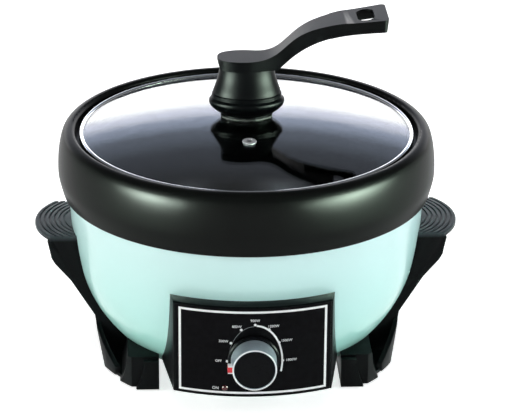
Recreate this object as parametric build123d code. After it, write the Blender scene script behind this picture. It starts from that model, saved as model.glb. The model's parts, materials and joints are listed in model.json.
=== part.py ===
from build123d import *
from math import asin, cos, degrees, radians, sin, sqrt
import os

# Electric hot pot with a lift-off glass lid.
# Millimetres. +Z up, origin on the pot's axis at table level.
# The control panel faces -Y and the lid's handle points to +X.

# ---- Fits ----
slip = 0.1                  # clearance between pieces that are fixed together
running = 0.05              # radial clearance of the turning shaft
lift_gap = 0.5              # clearance of pieces that lift out

# ---- Heights that stack up from the table ----
foot_pad_proud = 2.0        # rubber below the foot moulding
bowl_clearance = 10.0       # table to the floor of the shell
hotplate_top = 80.8         # table to the seat of the pot
pot_depth = 119.5           # seat of the pot to the ledge for the lid
collar_rise = 9.5           # collar above the ledge
collar_drop = 46.2          # ledge to the hem of the collar
dome_rise = 13.0            # crown of the glass above the steel rim

# ---- Lid ----
lid_inset = 9.8             # bowl to the edge of the lid's steel rim
lid_rim_height = 7.0
lid_rim_wall = 1.2
lid_rim_lip = 4.0
lid_rim_round = 0.9
glass_thickness = 3.8
vent_offset = 61.0
vent_radius = 2.75
eyelet_barrel_radius = 4.4
eyelet_flange_radius = 6.2
eyelet_flange_thickness = 0.9

# ---- Knob on the lid ----
knob_oval = 0.71            # depth of the knob over its width
knob_foot_radius = 23.3
knob_belly_radius = 33.7
knob_waist_radius = 31.2
knob_neck_radius = 24.2
knob_height = 44.5          # glass gasket to the head of the handle
gasket_thickness = 1.0
handle_thickness = 9.6
handle_reach = 123.4
neck_start = 14.0           # start of the swan neck on the head
neck_thickness = 1.3        # least thickness of the neck beside the knob
handle_rise = 40.4          # top of the head to the top of the tip
paddle_depth = 11.6         # height of the paddle's side walls at its tip
paddle_skin = 3.5           # thickness of the paddle's top
paddle_inside = 0.85        # width of its hollow over its own width
paddle_hollow_start = 62.0
paddle_half_width = 23.4    # at the tip
handle_waist = 10.8         # half width at the narrowest
head_overhang = 2.2         # head beyond the neck of the knob
neck_play = 0.5             # swan neck to the side of the knob
hang_hole_length = 31.0     # across the handle
hang_hole_width = 15.0
hang_hole_inset = 19.1      # tip to the middle of the hole
lid_screw_radius = 2.5
lid_screw_head_radius = 5.5
lid_screw_head_height = 3.2
washer_radius = 10.0
washer_thickness = 1.2

# ---- Inner pot ----
lid_play = 3.5              # steel rim to the lip of the collar
ledge_width = 9.5
pot_wall = 4.0
pot_taper = 12.0            # pot narrower at its floor than at the ledge
pot_corner_round = 16.0
collar_lip_round = 3.7
collar_stand_off = 2.9      # bowl to the inside of the collar's hem
collar_bulge = 4.0          # hem to the widest part of the belly
collar_belly_drop = 25.5    # ledge to that widest part
collar_wall = 2.6

# ---- Bowl shell ----
bowl_radius = 159.8
bowl_side_round = 339.0      # radius of the long upper curve of the side view
bowl_side_sweep = 11.0       # degrees that the upper curve turns in
bowl_base_cut = 23.35       # height that the flat floor cuts off the curve below it
shell_wall = 1.6
shell_lap = 8.7             # shell above the hem of the collar
shell_floor_hole = 66.0
support_ring_height = 3.0
support_ring_skirt = 9.0
support_ring_wall = 2.0

# ---- Floor of the base ----
cover_margin = 13.0
cover_thickness = 1.2
vent_slot_count = 10
vent_slot_length = 22.0
vent_slot_width = 4.0
vent_slot_radius = 44.0
post_count = 3
post_circle = 73.0
post_radius = 6.0
post_neck_radius = 4.0
post_stud_radius = 2.0
cover_screw_radius = 1.8
cover_screw_head_radius = 4.0
cover_screw_head_height = 2.0
cover_screw_bite = 10.0     # into each post

# ---- Heater ----
hotplate_radius = 92.0
hotplate_thickness = 10.0
element_radius = 58.0
element_tube_radius = 4.0
element_channel_wall = 4.0
element_gap_angle = 28.0
element_tail_length = 14.0
terminal_radius = 1.6
terminal_length = 10.0
reflector_height = 48.8
reflector_radius = 112.0
reflector_wall_height = 14.0
reflector_sheet = 0.8
cutout_radius = 9.0
cutout_height = 9.0
terminal_margin = 4.0
terminal_width = 32.0
terminal_depth = 14.0
terminal_height = 10.0

# ---- Side supports ----
grip_overhang = 31.7        # bowl to the grip's outermost point
grip_top = 121.3
grip_half_depth = 41.0
grip_plate = 5.0
grip_bulge = 15.0           # how far the grip's curved edge stands out in its middle
grip_rib_count = 7
grip_rib_pitch = 4.4
grip_rib_depth = 0.9
leg_head_setback = 12.5     # grip's edge to the block under it
leg_head_height = 22.1
leg_head_taper = 6.4
leg_neck_inset = 1.0        # insets are measured in from the bowl's radius
leg_neck_z = 77.8
leg_waist_inset = 21.8
leg_waist_z = 43.5
leg_floor_inset = 30.3
foot_inset = 16.3
foot_cover_gap = 1.5        # bottom cover to the inner edge of each foot
toe_inset = 11.8
toe_corner = 0.6            # toe's square corner beyond its round edge
toe_angle = 47.18           # degrees from X to that corner
toe_height = 27.0
toe_side_round = 60.0
band_inset = 12.8
band_corner = 7.76
band_angle = 41.73
wing_wall = 4.0
wing_tip_y = 79.0
wing_tip_height = 10.0
support_wall = 3.2
pad_radius = 8.0
pad_recess = 3.0
support_screw_radius = 2.0
support_screw_head_radius = 4.0
support_screw_head_height = 2.4

# ---- Control box ----
face_stand_off = 10.2       # bowl to the curved front
box_front_half = 68.3
box_back_half = 77.9
box_bottom = 25.2
box_height = 84.4
box_back_inset = 64.8
box_wall = 2.5
box_edge = 1.2              # chamfer along the top of the front
fascia_thickness = 2.0
fascia_margin = 1.8
dial_z = 61.5
lamp_x = -24.4
lamp_z = 33.2
lamp_radius = 2.6
box_screw_x = 56.0
box_screw_low = 43.5
box_screw_high = 95.0
box_boss_radius = 4.6
box_screw_radius = 1.75
box_screw_length = 17.0
box_screw_bite = 14.0       # front wall to the end of each screw's hole

# ---- Power regulator and its knob ----
regulator_width = 40.0
regulator_height = 30.0
regulator_depth = 11.5
regulator_pad_margin = 1.5
regulator_tag_length = 3.0
bushing_radius = 4.8
bushing_stand_out = 4.0
nut_flat = 12.0
nut_thickness = 2.4
shaft_radius = 3.0
shaft_flat = 2.3
knob_gap = 1.0              # fascia to the collar of the knob
knob_collar_radius = 22.0
knob_collar_height = 3.2
sleeve_radius = 19.6
sleeve_front_radius = 18.9
sleeve_wall = 1.4
control_knob_depth = 21.0
pointer_reach = 22.8
pointer_setback = 1.2       # front ring of the sleeve to the pointer
pointer_width = 6.4
pointer_length = 6.0

# ---- Power inlet ----
inlet_z = 64.8
inlet_width = 36.0
inlet_height = 25.0
inlet_proud = 3.2           # bowl to the mouth of the inlet
inlet_length = 43.0
inlet_insert_length = 35.0
inlet_wall = 2.2
inlet_floor = 0.13          # floor of the mouth behind the bowl's middle line there
inlet_flange_margin = 7.0
inlet_flange_thickness = 2.4
pin_radius = 2.0
pin_spread = 9.0
inlet_screw_radius = 1.6
inlet_screw_length = 14.0

# ---- Heights and radii worked out from the above ----
lid_radius = bowl_radius - lid_inset
face_radius = bowl_radius + face_stand_off
box_back_y = bowl_radius - box_back_inset
inlet_reach = bowl_radius + inlet_proud
inside_bowl = 0.6 * bowl_radius
collar_hem_radius = bowl_radius + collar_stand_off + collar_wall
collar_belly_radius = collar_hem_radius + collar_bulge
grip_reach = bowl_radius + grip_overhang
grip_end_x = grip_reach - grip_bulge
leg_head_x = grip_reach - leg_head_setback
leg_neck_x = bowl_radius - leg_neck_inset
leg_waist_x = bowl_radius - leg_waist_inset
leg_floor_x = bowl_radius - leg_floor_inset
foot_radius = bowl_radius - foot_inset
foot_inner_x = shell_floor_hole + cover_margin + foot_cover_gap
toe_radius = bowl_radius - toe_inset
toe_outer_x = (toe_radius + toe_corner) * cos(radians(toe_angle))
toe_front = (toe_radius + toe_corner) * sin(radians(toe_angle))
band_radius = bowl_radius - band_inset
band_outer_x = (band_radius + band_corner) * cos(radians(band_angle))
band_front = (band_radius + band_corner) * sin(radians(band_angle))
hang_hole_x = handle_reach - hang_hole_inset
neck_inner_x = knob_neck_radius + neck_play
ledge_z = hotplate_top + pot_depth
rim_top = ledge_z + lid_rim_height
crown_z = rim_top + dome_rise
lip_inner = lid_radius - lid_rim_lip
dome_fall = crown_z - (rim_top - lid_rim_wall - slip)
dome_radius = (lip_inner ** 2 + dome_fall ** 2) / (2 * dome_fall)
glass_radius = lid_radius - lid_rim_wall - slip
glass_edge_z = crown_z - dome_radius + sqrt(dome_radius ** 2 - glass_radius ** 2)
knob_seat = crown_z + gasket_thickness
head_bottom = knob_seat + knob_height
head_top = head_bottom + handle_thickness
lip_radius = lid_radius + lid_play
ledge_inner = lip_radius - ledge_width
pot_floor_radius = ledge_inner - pot_taper
hem_z = ledge_z - collar_drop
collar_top = ledge_z + collar_rise
shell_top = hem_z + shell_lap
sweep_rise = sin(radians(bowl_side_sweep))
bowl_base_round = (hem_z - bowl_side_round * sweep_rise - bowl_clearance + bowl_base_cut) / (1 - sweep_rise)
floor_top = bowl_clearance + shell_wall
plate_bottom = hotplate_top - hotplate_thickness
box_top = box_bottom + box_height
regulator_seat_y = slip - sqrt(
    (face_radius - fascia_thickness - box_wall) ** 2 - (regulator_width / 2 + regulator_pad_margin) ** 2
)
knob_back = -(face_radius + knob_gap)
knob_front = knob_back - control_knob_depth
post_angles = [90 + step * 360 / post_count for step in range(post_count)]


# ---- Small helpers ----
def outline_xz(curve):
    """Face in the XZ plane from a closed curve drawn as (x, z)."""
    return make_face(Plane.XZ * curve)


def turned(curve):
    """Solid of revolution about the pot's axis from a closed curve drawn as (radius, height)."""
    return revolve(outline_xz(curve), Axis.Z)


def disc(radius, low, high):
    return Pos(0, 0, low) * extrude(Circle(radius), high - low)


def rod_y(radius, start_y, end_y, x=0.0, z=0.0):
    """Round bar parallel to Y between two Y positions."""
    return Pos(x, start_y, z) * extrude(Plane.XZ * Circle(radius), start_y - end_y)


def rod_x(radius, start_x, end_x, y=0.0, z=0.0):
    """Round bar parallel to X between two X positions."""
    return Pos(start_x, y, z) * extrude(Plane.YZ * Circle(radius), end_x - start_x)


def prism_z(face, low, height):
    """Plan view pushed up from a height."""
    return Pos(0, 0, low) * extrude(face, height, dir=(0, 0, 1))


def prism_y(face, start, length):
    """Front view pushed towards -Y from a Y position."""
    return Pos(0, start, 0) * extrude(face, length, dir=(0, -1, 0))


def block(low, high):
    """Box between two corners."""
    size = [b - a for a, b in zip(low, high)]
    centre = [(a + b) / 2 for a, b in zip(low, high)]
    return Pos(*centre) * Box(*size)


def group(solids):
    return Compound(children=[piece for solid in solids for piece in solid.solids()])


# ---- Lid ----
def dome_z(radius):
    """Height of the outside of the glass at a radius."""
    return crown_z - dome_radius + sqrt(dome_radius ** 2 - radius ** 2)


def under_dome(drop=0.0):
    """Everything below the outside of the glass, lowered by a drop."""
    half = glass_radius / 2
    base = glass_edge_z - 4 * glass_thickness
    arc = ThreePointArc(
        (0, crown_z - drop), (half, dome_z(half) - drop), (glass_radius, glass_edge_z - drop)
    )
    sides = Polyline(
        (glass_radius, glass_edge_z - drop), (glass_radius, base), (0, base), (0, crown_z - drop)
    )
    return turned(arc + sides)


def on_dome(piece):
    """Move a piece modelled about the origin to the vent's place, square to the glass."""
    slope = degrees(asin(vent_offset / dome_radius))
    return Pos(0, -vent_offset, dome_z(vent_offset)) * (Rot(slope, 0, 0) * piece)


def make_lid_glass():
    glass = under_dome() - under_dome(glass_thickness)
    glass -= disc(lid_screw_radius + 3 * slip, ledge_z, crown_z + gasket_thickness)
    vent = Cylinder(eyelet_barrel_radius + slip, 4 * glass_thickness)
    return glass - on_dome(vent)


def make_lid_rim():
    inner = lip_inner
    web = lid_radius - lid_rim_wall
    channel = Polyline(
        (lid_radius, ledge_z),
        (lid_radius, rim_top),
        (inner, rim_top),
        (inner, rim_top - lid_rim_wall),
        (web, rim_top - lid_rim_wall),
        (web, ledge_z + lid_rim_wall),
        (inner, ledge_z + lid_rim_wall),
        (inner, ledge_z),
        close=True,
    )
    rim = turned(channel)
    corners = rim.edges().filter_by(GeomType.CIRCLE).filter_by(
        lambda edge: abs(edge.radius - lid_radius) < slip
    )
    return fillet(corners, lid_rim_round)


def make_vent_eyelet():
    flange = eyelet_flange_radius
    sheet = eyelet_flange_thickness
    barrel = eyelet_barrel_radius
    top_ring = Cylinder(flange, sheet, align=(Align.CENTER, Align.CENTER, Align.MIN))
    top_ring = fillet(top_ring.edges().group_by(Axis.Z)[-1], 0.8 * sheet)
    low = -(glass_thickness + slip)
    bottom_ring = Pos(0, 0, low - sheet) * Cylinder(
        flange - sheet, sheet, align=(Align.CENTER, Align.CENTER, Align.MIN)
    )
    tube = Pos(0, 0, low) * Cylinder(barrel, -low, align=(Align.CENTER, Align.CENTER, Align.MIN))
    hole = Cylinder(vent_radius, 4 * glass_thickness)
    return on_dome(top_ring + bottom_ring + tube - hole)


def make_knob_gasket():
    foot = knob_foot_radius - slip
    plug = Pos(0, 0, glass_edge_z) * extrude(Ellipse(foot, foot * knob_oval), knob_seat - glass_edge_z)
    ring = plug - under_dome()
    return ring - disc(lid_screw_radius + 2 * slip, ledge_z, head_bottom)


def make_knob_base():
    belly = knob_belly_radius
    waist = knob_waist_radius
    foot_top = knob_seat + 2.0
    belly_low = knob_seat + 9.0
    belly_mid = knob_seat + 12.5
    belly_high = knob_seat + 15.0
    step = knob_seat + 17.0
    ridge = knob_seat + 21.0
    lower = Polyline((0, knob_seat), (knob_foot_radius, knob_seat), (knob_foot_radius, foot_top))
    flare = Spline(
        (knob_foot_radius, foot_top),
        (belly - 1.6, belly_low),
        (belly, belly_mid),
        (belly - 0.3, belly_high),
    )
    shoulder = Polyline(
        (belly - 0.3, belly_high), (waist, step), (waist, ridge - 0.8), (waist - 0.9, ridge)
    )
    bell = Spline(
        (waist - 0.9, ridge),
        (waist - 3.4, knob_seat + 0.66 * knob_height),
        (knob_neck_radius, head_bottom),
        tangents=[(-0.15, 1), (-0.1, 1)],
    )
    top = Polyline((knob_neck_radius, head_bottom), (0, head_bottom), (0, knob_seat))
    body = scale(turned(lower + flare + shoulder + bell + top), by=(1, knob_oval, 1))
    return body - disc(lid_screw_radius + slip, knob_seat - 1, head_bottom + 1)


def handle_x(share):
    """Place along the handle, from the start of the swan neck to the tip."""
    return neck_start + share * (handle_reach - neck_start)


def handle_side():
    """Side view of the handle: flat head, swan neck and long paddle."""
    tip_top = head_top + handle_rise
    tip_bottom = tip_top - paddle_depth
    foot = head_bottom - 1.0
    head_end = -knob_neck_radius - head_overhang
    top_shares = [(0, 0.02), (0.0914, 0.109), (0.2194, 0.396), (0.3656, 0.668), (0.6033, 0.864)]
    bottom_shares = [(0.7678, 0.939), (0.457, 0.726), (0.2651, 0.396)]
    top = Spline(
        (0, head_top),
        *[(handle_x(along), head_top + up * handle_rise) for along, up in top_shares],
        (handle_reach, tip_top),
        tangents=[(1, 0), (1, 0.14)],
    )
    bottom = Spline(
        (handle_reach - 1.5, tip_bottom),
        *[(handle_x(along), foot + up * (tip_bottom - foot)) for along, up in bottom_shares],
        (neck_inner_x + neck_thickness, foot),
        tangents=[(-1, -0.08), (-0.75, -0.66)],
    )
    outline = (
        top
        + Line((handle_reach, tip_top), (handle_reach - 1.5, tip_bottom))
        + bottom
        + Polyline(
            (neck_inner_x + neck_thickness, foot),
            (neck_inner_x, foot),
            (neck_inner_x, head_bottom),
            (head_end + 2.6, head_bottom),
            (head_end - 0.6, head_top - 0.25),
            (head_end - 0.6, head_top),
            (0, head_top),
        )
    )
    return outline_xz(outline)


def handle_plan(share=1.0):
    """The handle seen from above, or a shape that is narrower by a share."""
    head_end = -knob_neck_radius - head_overhang
    head_half = knob_neck_radius * knob_oval
    flare = paddle_half_width - handle_waist
    half_widths = [
        (0.644 * head_end, 0.86 * head_half),
        (0, head_half),
        (handle_x(0.018), handle_waist + 0.222 * flare),
        (handle_x(0.155), handle_waist),
        (handle_x(0.42), handle_waist + 0.325 * flare),
        (handle_x(0.713), handle_waist + 0.722 * flare),
        (handle_reach - 5, paddle_half_width),
    ]
    edge = Spline(
        (head_end, 0), *[(x, share * y) for x, y in half_widths], tangents=[(0, 1), (1, 0.12)]
    )
    corner = Spline(
        (handle_reach - 5, share * paddle_half_width),
        (handle_reach + 0.6, share * 0.79 * paddle_half_width),
        (handle_reach + 1.5, 0),
        tangents=[(1, 0.1), (0, -1)],
    )
    half = make_face(edge + corner + Line((handle_reach + 1.5, 0), (head_end, 0)))
    return half + mirror(half, about=Plane.XZ)


def hollow_side():
    """Side view of the hollow in the paddle, its roof an arc below the paddle's top, open downwards."""
    start = paddle_hollow_start
    end = handle_reach - paddle_skin
    roof = head_top + handle_rise - paddle_skin
    low = (start, roof - 0.255 * handle_rise)
    high = (end, roof - 0.5)
    arc = ThreePointArc(low, ((start + end) / 2, roof - 0.08 * handle_rise), high)
    return outline_xz(arc + Polyline(high, (end, head_bottom), (start, head_bottom), low))


def make_lid_handle():
    width = 3 * paddle_half_width
    height = handle_rise + handle_thickness + 20
    handle = prism_y(handle_side(), width / 2, width) & prism_z(handle_plan(), head_bottom - 10, height)
    inside = prism_z(handle_plan(paddle_inside), head_bottom - 10, height)
    handle -= prism_y(hollow_side(), width / 2, width) & inside
    slot = SlotOverall(hang_hole_length, hang_hole_width, rotation=90)
    handle -= Pos(hang_hole_x, 0, head_top) * extrude(slot, handle_rise + 10)
    return handle - disc(lid_screw_radius + slip, head_bottom - 1, head_bottom + 0.7 * handle_thickness)


def make_lid_screw():
    seat = dome_z(washer_radius) - glass_thickness - washer_thickness
    head = disc(lid_screw_head_radius, seat - lid_screw_head_height, seat)
    head = fillet(head.edges().group_by(Axis.Z)[0], 1.2)
    slot = block((-3, -0.5, seat - 4), (3, 0.5, seat - 1.8))
    cross = slot + Rot(0, 0, 90) * slot
    shank = disc(lid_screw_radius, seat, head_bottom + 0.7 * handle_thickness - 1)
    return head + shank - cross


def make_lid_washer():
    top = dome_z(washer_radius) - glass_thickness
    ring = disc(washer_radius, top - washer_thickness, top)
    return ring - disc(lid_screw_radius + 2 * slip, top - 3, top + 1)


# ---- Inner pot ----
def pot_vessel(inset, top):
    """The pot's bucket shape up to a top, drawn in by an inset, with a round corner at the floor."""
    low = hotplate_top + inset
    slope = (ledge_inner + pot_wall - pot_floor_radius) / pot_depth
    wall_top = pot_floor_radius + slope * (top - hotplate_top) - inset
    floor_radius = pot_floor_radius - inset
    side = Polyline((0, low), (floor_radius, low), (wall_top, top), (0, top), close=True)
    vessel = turned(side)
    return fillet(vessel.edges().group_by(Axis.Z)[0], pot_corner_round - inset)


def make_inner_pot():
    under_ledge = ledge_z - pot_wall
    crest = lip_radius + collar_lip_round
    crown_inner = crest + 3.3
    hem_inner = collar_hem_radius - collar_wall
    outer = Spline(
        (crest, collar_top),
        (collar_belly_radius - 3.0, ledge_z + 1.1),
        (collar_belly_radius, ledge_z - collar_belly_drop),
        (collar_hem_radius, hem_z),
        tangents=[(1, 0), (-0.28, -1)],
    )
    inner = Spline(
        (crown_inner, collar_top - 4.6),
        (collar_belly_radius - 5.5, ledge_z - 2.0),
        (collar_belly_radius - collar_wall, ledge_z - collar_belly_drop - 0.5),
        (hem_inner, hem_z),
    )
    groove = Polyline(
        (ledge_inner, under_ledge),
        (crest + 0.3, under_ledge),
        (crest + 0.3, collar_top - 4.6),
        (crown_inner, collar_top - 4.6),
    )
    hem = Line((hem_inner, hem_z), (collar_hem_radius, hem_z))
    lip = RadiusArc((crest, collar_top), (lip_radius, collar_top - collar_lip_round), -collar_lip_round)
    ledge = Polyline(
        (lip_radius, collar_top - collar_lip_round),
        (lip_radius, ledge_z),
        (ledge_inner, ledge_z),
        (ledge_inner, under_ledge),
    )
    collar = turned(outer + inner + groove + hem + lip + ledge)
    mouth = ledge_z + collar_rise + 1
    return (pot_vessel(0, ledge_z - 0.5 * pot_wall) + collar) - pot_vessel(pot_wall, mouth)


# ---- Bowl shell ----
def bowl_centres():
    """Centres, as (radius, height), of the upper and lower curves of the bowl's side view."""
    upper = (bowl_radius - bowl_side_round, hem_z)
    turn = radians(bowl_side_sweep)
    step = bowl_side_round - bowl_base_round
    return upper, (upper[0] + step * cos(turn), upper[1] - step * sin(turn))


def bowl_point(angle, inset):
    """Point of the bowl's side view where it has turned in by an angle, moved in by an inset."""
    upper, lower = bowl_centres()
    above = angle <= bowl_side_sweep
    centre = upper if above else lower
    reach = (bowl_side_round if above else bowl_base_round) - inset
    return centre[0] + reach * cos(radians(angle)), centre[1] - reach * sin(radians(angle))


def bowl_wall_radius(height):
    """Outside radius of the shell at a height."""
    upper, lower = bowl_centres()
    above = height >= bowl_point(bowl_side_sweep, 0)[1]
    centre = upper if above else lower
    reach = bowl_side_round if above else bowl_base_round
    return centre[0] + sqrt(reach ** 2 - (height - centre[1]) ** 2)


def bowl_plug(inset, top=shell_top):
    """Solid inside the bowl's side view, drawn in by an inset and cut flat at the floor."""
    knee = bowl_point(bowl_side_sweep, inset)
    end = bowl_point(90, inset)
    start = bowl_point(0, inset)
    side = ThreePointArc(start, bowl_point(bowl_side_sweep / 2, inset), knee)
    side += ThreePointArc(knee, bowl_point((90 + bowl_side_sweep) / 2, inset), end)
    rest = Polyline(end, (0, end[1]), (0, top), (start[0], top), start)
    return turned(side + rest) - disc(bowl_radius, end[1] - 1, bowl_clearance + inset)


def make_bowl_shell():
    shell = bowl_plug(0) - bowl_plug(shell_wall, shell_top + 1)
    half_w = inlet_width / 2 - inlet_wall
    half_h = inlet_height / 2 - inlet_wall
    cuts = [
        disc(shell_floor_hole, bowl_clearance - 1, floor_top + 1),
        rod_y(0.7 * regulator_width / 2, -box_back_y, -face_radius, 0, dial_z),
        block((-half_w, inside_bowl, inlet_z - half_h), (half_w, inlet_reach, inlet_z + half_h)),
    ]
    cuts += support_screw_holes(slip) + inlet_screw_holes(slip)
    for x, z in box_screw_places():
        cuts.append(rod_y(box_screw_radius + slip, -box_back_y, -face_radius, x, z))
    for angle in post_angles:
        hole = disc(cover_screw_radius + slip, 0, floor_top + 1)
        cuts.append(Rot(0, 0, angle) * Pos(post_circle, 0, 0) * hole)
    return shell - cuts


def make_support_ring():
    """Angle ring that closes the shell's edge and centres the pot."""
    wall_slope = (ledge_inner + pot_wall - pot_floor_radius) / pot_depth
    top = shell_top + support_ring_height
    pot_here = ledge_inner + pot_wall - (ledge_z - top) * wall_slope
    inside = bowl_radius - shell_wall - slip
    ring = Polyline(
        (pot_here + lift_gap, top),
        (bowl_radius, top),
        (bowl_radius, shell_top),
        (inside, shell_top),
        (inside, shell_top - support_ring_skirt),
        (inside - support_ring_wall, shell_top - support_ring_skirt),
        (inside - support_ring_wall, shell_top),
        (pot_here + lift_gap, shell_top),
        close=True,
    )
    return turned(ring)


# ---- Floor of the base ----
def make_bottom_cover():
    radius = shell_floor_hole + cover_margin
    low = bowl_clearance - cover_thickness
    cover = disc(radius, low, bowl_clearance)
    slot = Pos(vent_slot_radius, 0, low - 1) * extrude(
        SlotOverall(vent_slot_length, vent_slot_width), cover_thickness + 2
    )
    for step in range(vent_slot_count):
        cover -= Rot(0, 0, step * 360 / vent_slot_count) * slot
    for angle in post_angles:
        hole = disc(cover_screw_radius + slip, 0, bowl_clearance + 1)
        cover -= Rot(0, 0, angle) * Pos(post_circle, 0, 0) * hole
    return cover


def make_cover_screws():
    low = bowl_clearance - cover_thickness
    head = disc(cover_screw_head_radius, low - cover_screw_head_height, low)
    shank = disc(cover_screw_radius, low, floor_top + cover_screw_bite)
    screw = head + shank
    return group([Rot(0, 0, angle) * Pos(post_circle, 0, 0) * screw for angle in post_angles])


def make_plate_posts():
    foot = disc(post_radius, floor_top, reflector_height)
    neck = disc(post_neck_radius, reflector_height, plate_bottom)
    stud = disc(post_stud_radius, plate_bottom, plate_bottom + 6)
    bore = disc(cover_screw_radius + slip, floor_top - 1, floor_top + cover_screw_bite + 1)
    post = foot + neck + stud - bore
    return group([Rot(0, 0, angle) * Pos(post_circle, 0, 0) * post for angle in post_angles])


# ---- Heater ----
def ring_tube(tube_radius, height, start=0.0, sweep=360.0):
    """Round tube bent to the element's circle."""
    section = Plane.XZ * (Pos(element_radius, height) * Circle(tube_radius))
    return Rot(0, 0, start) * revolve(section, Axis.Z, sweep)


def element_height():
    return plate_bottom - element_tube_radius


def make_heating_plate():
    plate = disc(hotplate_radius, plate_bottom, hotplate_top)
    plate = chamfer(plate.edges().group_by(Axis.Z)[-1], 1.5)
    half = element_tube_radius + element_channel_wall
    channel_low = element_height()
    channel = disc(element_radius + half, channel_low, plate_bottom) - disc(
        element_radius - half, channel_low - 1, plate_bottom
    )
    plate += channel
    plate -= ring_tube(element_tube_radius + slip, element_height())
    for angle in post_angles:
        hole = disc(post_stud_radius + slip, plate_bottom - 1, plate_bottom + 7)
        plate -= Rot(0, 0, angle) * Pos(post_circle, 0, 0) * hole
    return plate


def element_ends():
    """Angles at which the element's two cold ends turn down."""
    half = element_gap_angle / 2
    return (90 - half, 90 + half)


def make_heating_element():
    start = element_ends()[1]
    element = ring_tube(element_tube_radius, element_height(), start, 360 - element_gap_angle)
    tail_low = element_height() - element_tail_length
    for angle in element_ends():
        knee = Pos(0, 0, element_height()) * Sphere(element_tube_radius)
        tail = disc(element_tube_radius, tail_low, element_height())
        tag = disc(terminal_radius, tail_low - terminal_length, tail_low)
        element += Rot(0, 0, angle) * Pos(element_radius, 0, 0) * (knee + tail + tag)
    return element


def make_heat_reflector():
    low = reflector_height
    high = low + reflector_sheet
    wall_foot = reflector_radius - 6
    dish = Polyline(
        (0, low),
        (wall_foot, low),
        (reflector_radius, low + reflector_wall_height),
        (reflector_radius + 4, low + reflector_wall_height),
        (reflector_radius + 4, high + reflector_wall_height),
        (reflector_radius - reflector_sheet, high + reflector_wall_height),
        (wall_foot - reflector_sheet, high),
        (0, high),
        close=True,
    )
    reflector = turned(dish)
    for angle in post_angles:
        hole = disc(post_neck_radius + slip, low - 1, high + 1)
        reflector -= Rot(0, 0, angle) * Pos(post_circle, 0, 0) * hole
    for angle in element_ends():
        hole = disc(element_tube_radius + 1, low - 1, high + 1)
        reflector -= Rot(0, 0, angle) * Pos(element_radius, 0, 0) * hole
    return reflector


def make_thermal_cutout():
    low = plate_bottom - cutout_height
    can = disc(cutout_radius, low, plate_bottom)
    blade = block((-1.5, -0.4, low - 6), (1.5, 0.4, low + 1))
    return can + Pos(0, 5, 0) * blade + Pos(0, -5, 0) * blade


# ---- Side supports, modelled at +X ----
def leg_profile():
    """Front view of the leg: the block under the grip, the slanting shank and the foot."""
    under_plate = grip_top - grip_plate
    head_shares = [(0, 0), (0.344, 0.475), (0.5, 0.738), (1, 1)]
    head = [
        (leg_head_x - inward * leg_head_taper, under_plate - down * leg_head_height)
        for inward, down in head_shares
    ]
    return Polyline(
        (inside_bowl, under_plate),
        *head,
        (leg_neck_x, leg_neck_z),
        (leg_waist_x, leg_waist_z),
        (leg_waist_x - 1.6, leg_waist_z - 11.5),
        (leg_floor_x, foot_pad_proud),
        (foot_inner_x, foot_pad_proud),
        (foot_inner_x, bowl_clearance + 20),
        close=True,
    )


def grip_circle():
    """Radius and centre of the arc that bounds the grip seen from above."""
    bulge = grip_reach - grip_end_x
    radius = (grip_half_depth ** 2 + bulge ** 2) / (2 * bulge)
    return radius, grip_reach - radius


def make_grip():
    radius, centre = grip_circle()
    low = grip_top - grip_plate
    plate = Pos(centre, 0, low) * extrude(Circle(radius), grip_plate)
    keep = block(
        (inside_bowl, -grip_half_depth, low - 1), (grip_reach + 1, grip_half_depth, grip_top + 1)
    )
    plate &= keep
    rim = plate.edges().filter_by(GeomType.CIRCLE)
    plate = fillet(rim, 1.5)
    for step in range(1, grip_rib_count):
        ring = radius - step * grip_rib_pitch
        groove = Circle(ring + grip_rib_depth) - Circle(ring - grip_rib_depth)
        cut = Pos(centre, 0, grip_top - grip_rib_depth) * extrude(groove, 2 * grip_rib_depth)
        plate -= cut
    return plate


def foot_plan(radius, front, outer_x):
    """Half of a foot layer seen from above: flat toe, then round the pot's axis."""
    corner_y = sqrt(radius ** 2 - outer_x ** 2)
    toe_x = sqrt(max(radius ** 2 - front ** 2, foot_inner_x ** 2))
    curve = Polyline((foot_inner_x, 0), (foot_inner_x, -front), (toe_x, -front))
    curve += RadiusArc((toe_x, -front), (outer_x, -corner_y), -radius)
    curve += Polyline((outer_x, -corner_y), (outer_x, 0), (foot_inner_x, 0))
    return make_face(curve)


def toe_side_view(outer_x):
    """Front view of a toe layer, its outer edge rounded in towards the top."""
    top = toe_height + 22
    lean = toe_side_round - sqrt(toe_side_round ** 2 - toe_height ** 2)
    edge = RadiusArc((outer_x, foot_pad_proud), (outer_x - lean, toe_height), toe_side_round)
    rest = Polyline(
        (outer_x - lean, toe_height),
        (outer_x - lean - 4, top),
        (foot_inner_x, top),
        (foot_inner_x, foot_pad_proud),
        (outer_x, foot_pad_proud),
    )
    return outline_xz(edge + rest)


def make_toe(radius, front, outer_x, height):
    """One layer of the stepped toe."""
    plan = prism_z(foot_plan(radius, front, outer_x), foot_pad_proud, height)
    side = prism_y(toe_side_view(outer_x), 0, front + 10)
    return plan & side


def make_wing():
    """Curved wall that runs from the leg's waist down to the toe, seen as a slanting edge."""
    ring = disc(foot_radius, foot_pad_proud, leg_waist_z) - disc(foot_radius - wing_wall, 0, leg_waist_z + 1)
    slope = Polyline(
        (-grip_half_depth + 2, foot_pad_proud),
        (-wing_tip_y, foot_pad_proud),
        (-wing_tip_y, wing_tip_height),
        (-grip_half_depth + 2, leg_waist_z - 5),
        close=True,
    )
    keep = extrude(make_face(Plane.YZ * slope), foot_radius + 5, dir=(1, 0, 0))
    return ring & keep & prism_y(outline_xz(leg_profile()), 0, wing_tip_y)


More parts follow.
